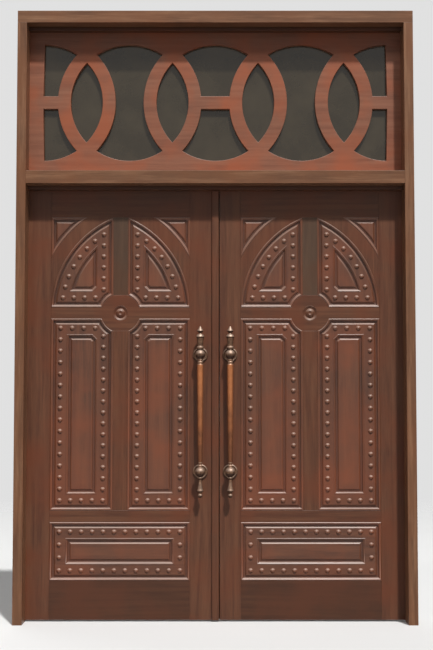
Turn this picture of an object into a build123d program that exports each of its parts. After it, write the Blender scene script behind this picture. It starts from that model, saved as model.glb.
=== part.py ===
from build123d import *
import math
import os

# Carved double-leaf temple door in its frame, with a fretwork fanlight over the transom bar.
# X runs across the doorway, Y from the outer face into the building, Z up from the floor.
# All lengths are in millimetres.

# Frame
opening_width = 1820.0
jamb_face = 45.0
head_face = 58.0
frame_depth = 160.0
rebate_width = 12.0
transom_height = 62.0
stop_height = 18.0
stop_depth = 40.0

# Wall fixings through the jambs
fixing_radius = 4.5
fixing_end_distance = 390.0
fixing_setback = 55.0

# Fanlight
fret_thickness = 26.0
fret_clearance = 0.5
fret_stile = 81.5
fret_top_rail = 78.0
fret_bottom_rail = 68.0
ring_radius_share = 24 / 35
ring_band = 64.0
ring_count = 5
ring_sides = 40
tie_bar_height = 64.0
glass_thickness = 5.0
glass_clearance = 3.0
bead_width = 20.0

# Leaves
leaf_thickness = 45.0
floor_gap = 8.0
edge_gap = 3.0
top_gap = 4.0
stop_gap = 0.5
meeting_gap = 3.5
hinge_stile_width = 122.0
meeting_face = 105.0
muntin_width = 70.0
bottom_rail_height = 186.0
bottom_panel_height = 278.0
lower_rail_height = 56.0
tall_panel_height = 925.0
cross_rail_height = 54.0
arch_height = 440.0
arch_radius = 495.0
top_rail_height = 145.0
rib_width = 61.0
arch_facets = 6
hub_radius = 94.0
hub_facets = 4
panel_back_recess = 12.0

# Cover strip over the meeting line
strip_width = 36.0
strip_rise = 12.0
strip_chamfer = 4.0

# Moulding round each panel, and the carved band and field inside it
arris_rise = 2.5
arris_width = 4.0
moulding_width = 19.0
moulding_drop = 9.0
moulding_depth = 15.0
band_drop = 2.0
band_edge_width = 5.0
groove_inset = 80.0
groove_width = 16.0
groove_drop = 9.0
groove_arris_width = 4.0
groove_arris_rise = 1.5
field_edge_width = 5.0
field_drop = 3.0
field_chamfer = 22.0

# Studs
stud_radius = 12.0
stud_height = 8.0
stud_sides = 6
stud_inset = 47.0
stud_curve_inset = 53.0
stud_pitch = 54.0
stud_hub_setback = 40.0

# Rosette in the hub
rosette_radius = 36.0
rosette_depth = 14.0
rosette_rim = 3.0
rosette_dish_drop = 7.0
rosette_dish_floor = 4.0
rosette_button_radius = 20.0
rosette_button_rise = 2.0
rosette_button_shares = [(1.0, 0.0), (0.9, 0.5), (0.6, 0.85), (0.2, 1.0)]
rosette_sides = 12

# Pull handles, as radius and length shares of each turned piece
handle_offset = 72.0
handle_standoff = 58.0
handle_centre_z = 995.0
handle_ball_spacing = 562.0
handle_bar_head_radius = 15.5
handle_bar_foot_radius = 10.5
handle_bar_end_radius = 11.0
handle_bar_collar = 27.0
handle_ball_radius = 23.5
handle_post_radius = 11.0
rose_radius = 36.0
rose_thickness = 8.0
rose_edge = 3.0
finial_radius = 20.0
finial_length = 136.0
finial_shares = [
    (0.70, 0.185),
    (0.78, 0.27),
    (0.58, 0.305),
    (0.88, 0.60),
    (1.0, 0.625),
    (0.95, 0.69),
    (0.36, 0.735),
    (0.36, 0.77),
    (0.70, 0.85),
    (0.10, 1.0),
]
drop_radius = 15.5
drop_length = 122.0
drop_shares = [
    (0.75, 0.20),
    (0.75, 0.265),
    (0.52, 0.29),
    (1.0, 0.70),
    (0.95, 0.74),
    (0.48, 0.79),
    (0.48, 0.85),
    (0.60, 0.90),
    (0.50, 0.97),
    (0.20, 1.0),
]
ball_steps = 4
handle_sides = 10

# Lift-off hinges
hinge_height = 126.0
hinge_plate_width = 30.0
hinge_plate_thickness = 2.5
knuckle_radius = 7.0
knuckle_set_off = 0.5
knuckle_gap = 0.4
pin_radius = 4.0
pin_clearance = 0.05
pin_end_gap = 2.0
hinge_sides = 8
hinge_end_distance = 230.0
hinges_per_leaf = 3

# One overrun serves all cuts
overrun = 5.0

# Depths, from the outer face to the inner one
overall_depth = frame_depth + 2 * knuckle_radius + knuckle_set_off
front_y = -overall_depth / 2
back_y = front_y + frame_depth
face_y = back_y - leaf_thickness
shoulder_y = face_y - stop_gap

# Widths, from the middle of the doorway
half_opening = opening_width / 2
half_rebate = half_opening + rebate_width
half_frame = half_opening + jamb_face
leaf_edge = half_rebate - edge_gap
strip_half = strip_width / 2
panel_inner = strip_half + meeting_face
panel_outer = leaf_edge - hinge_stile_width
panel_half = (panel_outer - panel_inner) / 2
pattern_x = (panel_outer + panel_inner) / 2
muntin_half = muntin_width / 2

# Rings of the fanlight, with the outer ones centred on the edges of the pierced field
half_board = half_rebate - fret_clearance
half_window = half_board - fret_stile
ring_pitch = 2 * half_window / (ring_count - 1)
ring_inner_radius = ring_pitch * ring_radius_share
ring_outer_radius = ring_inner_radius + ring_band

# Heights, from the floor
bottom_panel_z0 = floor_gap + bottom_rail_height
bottom_panel_z1 = bottom_panel_z0 + bottom_panel_height
tall_z0 = bottom_panel_z1 + lower_rail_height
tall_z1 = tall_z0 + tall_panel_height
arch_z0 = tall_z1 + cross_rail_height
arch_z1 = arch_z0 + arch_height
hub_z = (tall_z1 + arch_z0) / 2
leaf_top = arch_z1 + top_rail_height
transom_bottom = leaf_top + top_gap
transom_top = transom_bottom + transom_height
strip_top = transom_bottom - stop_height - top_gap
ring_centre_z = transom_top + fret_bottom_rail + ring_inner_radius
opening_height = ring_centre_z + ring_inner_radius + fret_top_rail
fret_top = opening_height + rebate_width
frame_top = opening_height + head_face
top_ball_z = handle_centre_z + handle_ball_spacing / 2
bottom_ball_z = handle_centre_z - handle_ball_spacing / 2

# Hinge axis, behind the gap between leaf and jamb
hinge_x = half_rebate - edge_gap / 2
hinge_y = back_y + knuckle_radius + knuckle_set_off

# Handle axis, in front of the meeting stile
handle_y = face_y - handle_standoff


# Shapes drawn in elevation (X and Z) and given a depth along Y

def region(x0, z0, x1, z1):
    """Rectangle in elevation between two corners."""
    return Pos((x0 + x1) / 2, (z0 + z1) / 2) * Rectangle(x1 - x0, z1 - z0)


def at_depth(outline, y):
    """Elevation outline moved to a depth."""
    return Plane.XZ.offset(-y) * outline


def slab(outline, near_y, far_y):
    """Solid of one elevation outline between two depths."""
    return extrude(at_depth(outline, far_y), amount=far_y - near_y)


def bevel(near_outline, near_y, far_outline, far_y):
    """Solid that runs straight from one elevation outline to another."""
    return loft([at_depth(far_outline, far_y), at_depth(near_outline, near_y)], ruled=True)


def block(x0, x1, y0, y1, z0, z1):
    """Box between two corners."""
    return slab(region(x0, z0, x1, z1), y0, y1)


def polygon(points):
    """Flat outline through points in order."""
    return make_face(Polyline(*points, close=True))


def arc_points(centre, radius, start, end, steps):
    """Points along a round stretch from one angle to another, both ends included."""
    angles = [start + (end - start) * index / steps for index in range(steps + 1)]
    return [(centre[0] + radius * math.cos(a), centre[1] + radius * math.sin(a)) for a in angles]


def turned(profile, sides):
    """Turned solid along Z with flat facets, from radius and height points with flat ends."""
    turns = [2 * math.pi * index / sides for index in range(sides)]
    rings = [
        [(radius * math.cos(a), radius * math.sin(a), height) for a in turns]
        for radius, height in profile
    ]
    outlines = [rings[0], rings[-1]]
    for lower, upper in zip(rings, rings[1:]):
        for index in range(sides):
            outlines.append([lower[index - 1], lower[index], upper[index], upper[index - 1]])
    return Solid(Shell([Face(Wire.make_polygon(outline)) for outline in outlines]))


def moved(solids, x):
    """Solids shifted across the doorway."""
    return [Pos(x, 0, 0) * solid for solid in solids]


def mirrored(solids):
    """Solids mirrored from one side of the doorway to the other."""
    return [mirror(solid, about=Plane.YZ) for solid in solids]


# Hinges

def hinge_heights():
    """Middle heights of a leaf's hinges."""
    low = floor_gap + hinge_end_distance
    high = leaf_top - hinge_end_distance
    step = (high - low) / (hinges_per_leaf - 1)
    return [low + step * index for index in range(hinges_per_leaf)]


def hinge_pockets(edge_x, into):
    """Recesses for the hinge plates, from an edge at edge_x towards the side that into gives."""
    x_values = sorted((edge_x, edge_x + into * hinge_plate_thickness))
    half = hinge_height / 2
    return [
        block(*x_values, back_y - hinge_plate_width, back_y, z - half, z + half)
        for z in hinge_heights()
    ]


def hinge_wing(edge_x, into, z, half_side):
    """One plate of a hinge at height z, with its knuckle on the lower or upper half."""
    x_values = sorted((edge_x, edge_x + into * hinge_plate_thickness))
    half = hinge_height / 2
    plate = block(*x_values, back_y - hinge_plate_width, back_y, z - half, z + half)
    low, high = sorted((z + half_side * knuckle_gap / 2, z + half_side * half))
    web = block(*x_values, back_y, hinge_y, low, high)
    return plate + web + hinge_turning(knuckle_radius, low, high)


def hinge_turning(radius, low, high):
    """Faceted round piece on the left hinge axis between two heights."""
    return Pos(-hinge_x, hinge_y, 0) * turned([(radius, low), (radius, high)], hinge_sides)


def frame_hinge_plates():
    """Hinge plates let into the left jamb, with the lower knuckles."""
    return [hinge_wing(-half_rebate, -1, z, -1) for z in hinge_heights()]


def leaf_hinge_plates():
    """Hinge plates let into the left leaf, with the upper knuckles, which are bored for the pins."""
    bore_radius = (pin_radius + pin_clearance) / math.cos(math.pi / hinge_sides)
    wings = []
    for z in hinge_heights():
        bore = hinge_turning(bore_radius, z - hinge_height, z + hinge_height)
        wings.append(hinge_wing(-leaf_edge, 1, z, 1) - bore)
    return wings


def hinge_pins():
    """Pins that stand on the lower knuckles of the left side and carry the upper ones."""
    length = (hinge_height + knuckle_gap) / 2 - pin_end_gap
    pin = Cylinder(pin_radius, length, align=(Align.CENTER, Align.CENTER, Align.MIN))
    return [Pos(-hinge_x, hinge_y, z - knuckle_gap / 2) * pin for z in hinge_heights()]


# Frame

def left_jamb():
    """Upright of the frame with its rebate, hinge recesses and wall fixing holes."""
    plan = Polyline(
        (-half_frame, front_y),
        (-half_opening, front_y),
        (-half_opening, shoulder_y),
        (-half_rebate, shoulder_y),
        (-half_rebate, back_y),
        (-half_frame, back_y),
        close=True,
    )
    jamb = extrude(make_face(plan), amount=opening_height)
    jamb = jamb - hinge_pockets(-half_rebate, -1)
    hole = Rot(0, 90, 0) * Cylinder(fixing_radius, 2 * jamb_face)
    for z in (fixing_end_distance, opening_height - fixing_end_distance):
        jamb = jamb - Pos(-half_opening - jamb_face / 2, front_y + fixing_setback, z) * hole
    return jamb


def frame_head():
    """Head over both jambs, rebated for the fretwork."""
    head = block(-half_frame, half_frame, front_y, back_y, opening_height, frame_top)
    cut_y = back_y + overrun
    cut_z = opening_height - overrun
    return head - block(-half_rebate, half_rebate, shoulder_y, cut_y, cut_z, fret_top)


def transom_bar():
    """Bar between the jambs, housed in their rebates at the back."""
    front = block(-half_opening, half_opening, front_y, shoulder_y, transom_bottom, transom_top)
    return front + block(-half_rebate, half_rebate, shoulder_y, back_y, transom_bottom, transom_top)


def stop_strip(top_z):
    """Planted stop under a bar or head whose underside is at top_z."""
    near_y = shoulder_y - stop_depth
    return block(-half_opening, half_opening, near_y, shoulder_y, top_z - stop_height, top_z)


# Fanlight

def ring_centres():
    """Places across the doorway of the interlaced rings."""
    middle = (ring_count - 1) / 2
    return [(index - middle) * ring_pitch for index in range(ring_count)]


def ring_disc(x, radius):
    """Many-sided disc on the line of the ring centres."""
    return Pos(x, ring_centre_z) * RegularPolygon(radius, ring_sides)


def fretwork():
    """Pierced board: interlaced rings, with tie bars across every other one."""
    board = region(-half_board, transom_top, half_board, fret_top - fret_clearance)
    holes = Sketch()
    bands = Sketch()
    for x in ring_centres():
        inner = ring_disc(x, ring_inner_radius)
        holes = holes + inner
        bands = bands + (ring_disc(x, ring_outer_radius) - inner)
    for x in ring_centres()[::2]:
        reach = ring_pitch - ring_inner_radius - ring_band / 2
        half_tie = tie_bar_height / 2
        tie = region(x - reach, ring_centre_z - half_tie, x + reach, ring_centre_z + half_tie)
        bands = bands + (tie & ring_disc(x, ring_inner_radius))
    window = region(-half_window, transom_top, half_window, fret_top)
    outline = board - ((holes & window) - bands)
    return slab(outline, shoulder_y, shoulder_y + fret_thickness)


def fanlight_glass():
    """Pane behind the fretwork."""
    half = half_rebate - glass_clearance
    pane = region(-half, transom_top + glass_clearance, half, fret_top - glass_clearance)
    near_y = shoulder_y + fret_thickness
    return slab(pane, near_y, near_y + glass_thickness)


def glazing_beads():
    """Four strips that hold the pane from the inner side."""
    near_y = shoulder_y + fret_thickness + glass_thickness
    inner = half_rebate - bead_width
    low = transom_top + bead_width
    high = fret_top - bead_width
    regions = [
        region(-half_rebate, transom_top, half_rebate, low),
        region(-half_rebate, high, half_rebate, fret_top),
        region(-half_rebate, low, -inner, high),
        region(inner, low, half_rebate, high),
    ]
    return [slab(outline, near_y, back_y) for outline in regions]


# Leaf pattern, drawn about the middle of the leaf with the meeting side at positive X

def arch_centre():
    """Centre of the arch curve that runs from the springing point to the crown."""
    foot = Vector(panel_half, arch_z0)
    crown = Vector(muntin_half, arch_z1)
    chord = crown - foot
    reach = math.sqrt(arch_radius ** 2 - (chord.length / 2) ** 2)
    inward = Vector(-chord.Y, chord.X).normalized()
    centre = (foot + crown) / 2 + inward * reach
    return centre.X, centre.Y


def arch_curve(inset):
    """Faceted curve of the arch, drawn in by an inset, from its foot to its crown."""
    centre = arch_centre()
    radius = arch_radius - inset
    foot = math.asin((arch_z0 + inset - centre[1]) / radius)
    crown = math.acos((muntin_half + inset - centre[0]) / radius)
    return arc_points(centre, radius, foot, crown, arch_facets)


def rib_curve(inset):
    """Faceted outer curve of the arch rib, drawn out by an inset, from the top rail to the stile."""
    centre = arch_centre()
    radius = arch_radius + rib_width + inset
    top = math.asin((arch_z1 - inset - centre[1]) / radius)
    side = math.acos((panel_half - inset - centre[0]) / radius)
    return arc_points(centre, radius, top, side, arch_facets)


def hub_curve(inset, level):
    """Faceted edge of the hub, drawn out by an inset, from the muntin to the rail edge at a level."""
    radius = hub_radius + inset
    side = math.copysign(1, level - hub_z)
    start = side * math.acos((muntin_half + inset) / radius)
    end = side * math.asin((abs(level - hub_z) + inset) / radius)
    return arc_points((0, hub_z), radius, start, end, hub_facets)


def arch_outline(inset):
    """Half of the pointed arch, drawn in by an inset."""
    return polygon(arch_curve(inset) + hub_curve(inset, arch_z0))


def spandrel_outline(inset):
    """Corner over the arch rib, drawn in by an inset."""
    return polygon([(panel_half - inset, arch_z1 - inset)] + rib_curve(inset))


def tall_outline(inset):
    """Tall panel with the corner that the hub cuts, drawn in by an inset."""
    outer = panel_half - inset
    low = tall_z0 + inset
    corners = [(outer, tall_z1 - inset), (outer, low), (muntin_half + inset, low)]
    return polygon(corners + hub_curve(inset, tall_z1))


def bottom_outline(inset):
    """Wide bottom panel, drawn in by an inset."""
    half = panel_half - inset
    return region(-half, bottom_panel_z0 + inset, half, bottom_panel_z1 - inset)


def corner_cut(inset):
    """Length taken off a field's corner beside the hub, so that the cut edge stays parallel."""
    return field_chamfer - (inset - groove_inset) * (2 - math.sqrt(2))


def arch_field(inset):
    """Inner field of half an arch."""
    x = muntin_half + inset
    z = arch_z0 + inset
    cut = corner_cut(inset)
    return polygon(arch_curve(inset) + [(x, z + cut), (x + cut, z)])


def tall_field(inset):
    """Inner field of a tall panel."""
    x = muntin_half + inset
    outer = panel_half - inset
    low = tall_z0 + inset
    high = tall_z1 - inset
    cut = corner_cut(inset)
    return polygon([(outer, high), (outer, low), (x, low), (x, high - cut), (x + cut, high)])


def moulding(outline):
    """Planted moulding: a raised arris at the outer edge and a bevel that sinks to the panel."""
    top_y = face_y - arris_rise
    foot_y = face_y + moulding_drop
    seat_y = face_y + moulding_depth
    ring = slab(outline(0) - outline(moulding_width), top_y, seat_y)
    return ring - bevel(outline(arris_width), top_y, outline(moulding_width), foot_y)


def plain_panel(outline):
    """Panel board that rises inside its moulding to a flat field."""
    foot_y = face_y + moulding_drop
    seat_y = face_y + moulding_depth
    board = slab(outline(0), seat_y, back_y - panel_back_recess)
    foot = outline(moulding_width)
    crest = outline(moulding_width + band_edge_width)
    return board + slab(foot, foot_y, seat_y) + bevel(crest, face_y + band_drop, foot, foot_y)


def carved_panel(outline, field):
    """Panel board with a flat band for the studs and a sunk groove round the inner field."""
    band_y = face_y + band_drop
    groove_y = band_y + groove_drop
    groove_foot = groove_inset + groove_width
    foot = field(groove_foot)
    crest = field(groove_foot + field_edge_width)
    arris = field(groove_inset - groove_arris_width) - field(groove_inset)
    panel = plain_panel(outline) + slab(arris, band_y - groove_arris_rise, band_y)
    panel = panel - bevel(field(groove_inset), band_y, foot, groove_y)
    return panel + bevel(crest, band_y + field_drop, foot, groove_y)


# Studs

def along(start, end):
    """Evenly spaced points from start to end, both included, at about the stud pitch."""
    span = Vector(*end) - Vector(*start)
    steps = max(1, round(span.length / stud_pitch))
    return [(start[0] + span.X * i / steps, start[1] + span.Y * i / steps) for i in range(steps + 1)]


def tall_studs():
    """Stud places on one tall panel, with the corner at the hub left free."""
    inner = muntin_half + stud_inset
    outer = panel_half - stud_inset
    low = tall_z0 + stud_inset
    high = tall_z1 - stud_inset
    column = along((outer, high), (outer, low))
    foot = along((outer, low), (inner, low))[1:]
    inner_column = along((inner, low), (inner, high - stud_hub_setback))[1:]
    head = along((outer, high), (inner + stud_hub_setback, high))[1:]
    return column + foot + inner_column + head


def arch_studs():
    """Stud places on one arched panel: along the curve, down the muntin side and along the foot."""
    centre_x, centre_z = arch_centre()
    radius = arch_radius - stud_curve_inset
    inner = muntin_half + stud_inset
    low = arch_z0 + stud_inset
    first = math.asin((low - centre_z) / radius)
    last = math.acos((inner - centre_x) / radius)
    steps = round(radius * (last - first) / stud_pitch)
    angles = [first + (last - first) * i / steps for i in range(steps + 1)]
    curve = [(centre_x + radius * math.cos(a), centre_z + radius * math.sin(a)) for a in angles]
    column = along(curve[-1], (inner, low + stud_hub_setback))[1:]
    foot = along(curve[0], (inner + stud_hub_setback, low))[1:]
    return curve + column + foot


def bottom_studs():
    """Stud places round the bottom panel."""
    half = panel_half - stud_inset
    low = bottom_panel_z0 + stud_inset
    high = bottom_panel_z1 - stud_inset
    rows = along((-half, low), (half, low)) + along((-half, high), (half, high))
    sides = along((-half, low), (-half, high))[1:-1] + along((half, low), (half, high))[1:-1]
    return rows + sides


def studs():
    """Faceted studs of one leaf."""
    foot = at_depth(RegularPolygon(stud_radius, stud_sides), 0)
    stud = loft([foot, Vertex(0, -stud_height, 0)])
    half_places = tall_studs() + arch_studs()
    places = half_places + [(-x, z) for x, z in half_places] + bottom_studs()
    return [Pos(x, face_y + band_drop, z) * stud for x, z in places]


# Leaf pieces, drawn about the middle of the leaf

def cross_rail():
    """Rail with the round hub in its middle, bored for the rosette."""
    upper = hub_curve(0, arch_z0)
    lower = hub_curve(0, tall_z1)
    right = [(panel_half, tall_z1), (panel_half, arch_z0)] + upper[::-1]
    left = [(-x, z) for x, z in upper] + [(-panel_half, arch_z0), (-panel_half, tall_z1)]
    foot = [(-x, z) for x, z in lower[::-1]] + lower
    pocket = Pos(0, hub_z) * RegularPolygon(rosette_radius, rosette_sides)
    bored = slab(pocket, face_y - overrun, face_y + rosette_depth)
    return slab(polygon(right + left + foot), face_y, back_y) - bored


def upper_muntin():
    """Upright between the arched panels, from the hub to the top rail."""
    return block(-muntin_half, muntin_half, face_y, back_y, hub_curve(0, arch_z0)[0][1], arch_z1)


def lower_muntin():
    """Upright between the tall panels, from the lower rail to the hub."""
    return block(-muntin_half, muntin_half, face_y, back_y, tall_z0, hub_curve(0, tall_z1)[0][1])


def arch_rib():
    """Curved rib over one arched panel."""
    return slab(polygon(arch_curve(0) + rib_curve(0)), face_y, back_y)


def rosette():
    """Turned dish with a raised button, let into the hub."""
    dish_z = rosette_depth - rosette_dish_drop
    button_height = rosette_dish_drop + rosette_button_rise
    floor_radius = rosette_button_radius + rosette_dish_floor
    body = turned([(rosette_radius, 0), (rosette_radius, rosette_depth)], rosette_sides)
    dish = turned([(floor_radius, dish_z), (rosette_radius - rosette_rim, rosette_depth)], rosette_sides)
    button_profile = [
        (radius_share * rosette_button_radius, dish_z + height_share * button_height)
        for radius_share, height_share in rosette_button_shares
    ]
    solid = body - dish + turned(button_profile, rosette_sides)
    return Pos(0, face_y + rosette_depth, hub_z) * (Rot(90, 0, 0) * solid)


def rail(z0, z1):
    """Plain cross piece between the stiles."""
    return block(-panel_half, panel_half, face_y, back_y, z0, z1)


def hinge_stile():
    """Hinge side upright of the left leaf, with recesses for the hinge plates."""
    stile = block(-leaf_edge, -panel_outer, face_y, back_y, floor_gap, leaf_top)
    return stile - hinge_pockets(-leaf_edge, 1)


def meeting_stile(edge):
    """Meeting side upright of a left leaf that reaches to edge."""
    return block(-panel_inner, edge, face_y, back_y, floor_gap, leaf_top)


def cover_strip():
    """Strip on the left leaf that hides the meeting line, with eased front edges."""
    strip = block(-strip_half, strip_half, face_y - strip_rise, face_y, floor_gap, strip_top)
    front_edges = strip.faces().sort_by(Axis.Y)[0].edges().filter_by(Axis.Z)
    return chamfer(front_edges, strip_chamfer)


# Pull handle, turned about its own upright axis

def ball_seat():
    """Height from a ball's centre of the flat where the bar meets it."""
    return math.sqrt(handle_ball_radius ** 2 - handle_bar_end_radius ** 2)


def handle_bar():
    """Long grip between the two balls, thicker towards its head, with a collar length at each end."""
    end = handle_ball_spacing / 2 - ball_seat()
    profile = [
        (handle_bar_end_radius, -end),
        (handle_bar_foot_radius, handle_bar_collar - end),
        (handle_bar_head_radius, end - handle_bar_collar),
        (handle_bar_end_radius, end),
    ]
    return Pos(-handle_offset, handle_y, handle_centre_z) * turned(profile, handle_sides)


def ball_and_ornament(shares, radius, length):
    """Turned ball with the ornament that grows from it, upwards from the flat for the bar."""
    start = -math.acos(handle_bar_end_radius / handle_ball_radius)
    end = math.acos(shares[0][0] * radius / handle_ball_radius)
    ball = arc_points((0, 0), handle_ball_radius, start, end, ball_steps)
    ornament = [(radius_share * radius, length_share * length) for radius_share, length_share in shares]
    return turned(ball + ornament, handle_sides)


def rose_and_post():
    """Round rose on the leaf and the post that carries a ball, along Y from the ball's centre."""
    face = handle_standoff - rose_thickness
    profile = [
        (handle_post_radius, 0),
        (handle_post_radius, face - rose_edge),
        (rose_radius - rose_edge, face),
        (rose_radius, face + rose_edge),
        (rose_radius, handle_standoff),
    ]
    return Rot(-90, 0, 0) * turned(profile, handle_sides)


def handle_top():
    """Upper fitting: ball with a cup and bud, on its post and rose."""
    fitting = ball_and_ornament(finial_shares, finial_radius, finial_length) + rose_and_post()
    return Pos(-handle_offset, handle_y, top_ball_z) * fitting


def handle_bottom():
    """Lower fitting: ball with a flared drop, on its post and rose."""
    hanging = mirror(ball_and_ornament(drop_shares, drop_radius, drop_length), about=Plane.XY)
    return Pos(-handle_offset, handle_y, bottom_ball_z) * (hanging + rose_and_post())


# Assembly: each piece is a list of its separate solids

def leaf_pieces():
    """Pieces of the left leaf apart from its meeting stile and strip, in the door's frame."""
    half_pieces = {
        "arch_rib": arch_rib(),
        "arch_panel": carved_panel(arch_outline, arch_field),
        "tall_panel": carved_panel(tall_outline, tall_field),
    }
    half_mouldings = [moulding(outline) for outline in (arch_outline, spandrel_outline, tall_outline)]
    spandrel = [plain_panel(spandrel_outline)]
    drawn = {
        "top_rail": [rail(arch_z1, leaf_top)],
        "cross_rail": [cross_rail()],
        "lower_rail": [rail(bottom_panel_z1, tall_z0)],
        "bottom_rail": [rail(floor_gap, bottom_panel_z0)],
        "upper_muntin": [upper_muntin()],
        "lower_muntin": [lower_muntin()],
        "spandrel_panels": spandrel + mirrored(spandrel),
        "bottom_panel": [carved_panel(bottom_outline, bottom_outline)],
        "mouldings": half_mouldings + mirrored(half_mouldings) + [moulding(bottom_outline)],
        "studs": studs(),
        "rosette": [rosette()],
    }
    for name, solid in half_pieces.items():
        drawn["inner_" + name] = [solid]
        drawn["outer_" + name] = mirrored([solid])
    placed = {name: moved(solids, -pattern_x) for name, solids in drawn.items()}
    placed["hinge_stile"] = [hinge_stile()]
    placed["handle_bar"] = [handle_bar()]
    placed["handle_top"] = [handle_top()]
    placed["handle_bottom"] = [handle_bottom()]
    placed["hinge_plates"] = leaf_hinge_plates()
    placed["hinge_pins"] = hinge_pins()
    return placed


def all_pieces():
    """Every piece of the door by name."""
    jamb = [left_jamb()]
    frame_plates = frame_hinge_plates()
    pieces = {
        "left_jamb": jamb,
        "right_jamb": mirrored(jamb),
        "frame_head": [frame_head()],
        "transom_bar": [transom_bar()],
        "head_stop": [stop_strip(opening_height)],
        "transom_stop": [stop_strip(transom_bottom)],
        "fretwork": [fretwork()],
        "fanlight_glass": [fanlight_glass()],
        "glazing_beads": glazing_beads(),
        "left_frame_hinge_plates": frame_plates,
        "right_frame_hinge_plates": mirrored(frame_plates),
        "left_meeting_stile": [meeting_stile(strip_half)],
        "right_meeting_stile": mirrored([meeting_stile(-strip_half - meeting_gap)]),
        "left_cover_strip": [cover_strip()],
    }
    for name, solids in leaf_pieces().items():
        pieces["left_" + name] = solids
        pieces["right_" + name] = mirrored(solids)
    return pieces


os.makedirs("parts", exist_ok=True)
for node, solids in all_pieces().items():
    export_step(Compound(children=solids), os.path.join("parts", node + ".step"))
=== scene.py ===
import math

import bmesh
import bpy
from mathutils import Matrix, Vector


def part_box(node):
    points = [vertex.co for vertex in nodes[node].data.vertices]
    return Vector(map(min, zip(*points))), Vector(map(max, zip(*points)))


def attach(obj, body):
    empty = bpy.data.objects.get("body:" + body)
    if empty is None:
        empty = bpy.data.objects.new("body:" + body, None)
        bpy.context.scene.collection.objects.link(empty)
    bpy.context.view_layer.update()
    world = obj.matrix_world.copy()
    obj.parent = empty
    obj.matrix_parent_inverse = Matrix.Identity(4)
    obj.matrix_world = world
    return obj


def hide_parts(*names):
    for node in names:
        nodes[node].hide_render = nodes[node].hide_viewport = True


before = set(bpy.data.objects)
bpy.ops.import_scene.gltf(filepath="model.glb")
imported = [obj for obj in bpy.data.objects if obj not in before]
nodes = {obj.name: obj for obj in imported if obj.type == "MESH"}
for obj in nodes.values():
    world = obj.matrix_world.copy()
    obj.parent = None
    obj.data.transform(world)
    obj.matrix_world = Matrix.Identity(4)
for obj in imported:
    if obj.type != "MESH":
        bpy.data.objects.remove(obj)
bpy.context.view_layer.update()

# Lengths are in metres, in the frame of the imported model; small ones are written in millimetres.
MM = 0.001


def in_mm(*points):
    """Points in metres from points in millimetres."""
    return [(a * MM, b * MM) for a, b in points]


# Sections of the moulding and the stud band: inset from the panel's edge and depth behind the leaf face
MOULDING_WIDTH = 19 * MM
MOULDING_SEAT = 15 * MM
MOULDING_FOOT = 9 * MM
MOULDING_SECTION = in_mm((0, 0), (3.4, -2.2), (4.2, -2.5), (11.6, 1.9), (13, 8.4), (14, 9))
BAND_SECTION = in_mm((19, 9), (22, 9), (23.6, 5), (28.6, 2))
BAND_DEPTH = 2 * MM

# Section of the groove round a panel's inner field
FIELD_INSET = 80 * MM
FIELD_CHAMFER = 22 * MM
FIELD_CHAMFER_LEAST = 1 * MM
GROOVE_SECTION = in_mm(
    (76, 2), (78.4, 0.6), (79, 0.5), (86.4, 4.9), (87.8, 10.4), (88.8, 11), (97, 11), (98.6, 8), (103.6, 5),
)
PANEL_BACK_RECESS = 12 * MM

# Wear on the crests of carved sections, dark glaze and painted shade in their hollows, and painted shade on
# the band and at the edge of the inner field
CREST_REACH = 0.6 * MM
CREST_WEAR = 0.2
HOLLOW_START = 7 * MM
HOLLOW_REACH = 4 * MM
HOLLOW_GLAZE_AND_SHADE = 0.6
BAND_CREST_LIFT = 1.5 * MM
BAND_REACH = 0.1 * MM
BAND_SHADE = 0.14
FIELD_SHADE = 0.22
FIELD_STEP = 1.5 * MM
FIELD_FADE = 26 * MM

# Eased edges; a rounded corner takes at most a side's length over EASE_LIMIT
EASE = 1.2 * MM
EASE_STEPS = 3
EASE_LIMIT = 2.2
EASE_KNEE = 0.3
EDGE_EASE = 1.0 * MM
EDGE_SEGMENTS = 2
EDGE_ANGLE = math.radians(40)
WELD_REACH = 0.01 * MM
SHARP_ANGLE = math.radians(35)

# Arches and hub of a leaf
ARCH_RADIUS = 495 * MM
RIB_WIDTH = 61 * MM
ARCH_STEPS = 36
HUB_STEPS = 14

# Studs and rosette; the flat crown and the tip are shares of a stud's radius and height
STUD_RADIUS = 12 * MM
STUD_SEGMENTS = 20
STUD_RINGS = 5
STUD_CROWN = 0.08
STUD_WEAR = 0.5
STUD_TIP = 0.1
STUD_DIGITS = 5
ROSETTE_SEGMENTS = 64
ROSETTE_EASE = 1.5 * MM

# Fretwork of the fanlight
RING_COUNT = 5
RING_RADIUS_SHARE = 24 / 35
RING_BAND = 64 * MM
TIE_HEIGHT = 64 * MM
FRET_STILE = 81.5 * MM
FRET_BOTTOM_RAIL = 68 * MM
FRET_STEPS = 40
FRET_EASE = 3.0 * MM

# Turned fittings
TURN_SEGMENTS = 48
BAR_COLLAR = 27 * MM

SIDES = ("left_", "right_")

# Leaf pattern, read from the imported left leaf
panel_low, panel_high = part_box("left_bottom_panel")
tall_low, tall_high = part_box("left_inner_tall_panel")
arch_low, arch_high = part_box("left_inner_arch_panel")
muntin_low, muntin_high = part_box("left_lower_muntin")
hub_low, hub_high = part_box("left_cross_rail")
face_y = muntin_low.y
back_y = muntin_high.y
pattern_x = -(panel_low.x + panel_high.x) / 2
panel_half = (panel_high.x - panel_low.x) / 2
muntin_half = (muntin_high.x - muntin_low.x) / 2
hub_z = (hub_low.z + hub_high.z) / 2
hub_radius = math.hypot((hub_high.z - hub_low.z) / 2, muntin_half)
panel_back_y = back_y - PANEL_BACK_RECESS

# Bar of the pull handle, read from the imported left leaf
bar_low, bar_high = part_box("left_handle_bar")
bar_middle = (bar_low.z + bar_high.z) / 2
bar_half = (bar_high.z - bar_low.z) / 2


# Mesh helpers

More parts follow.
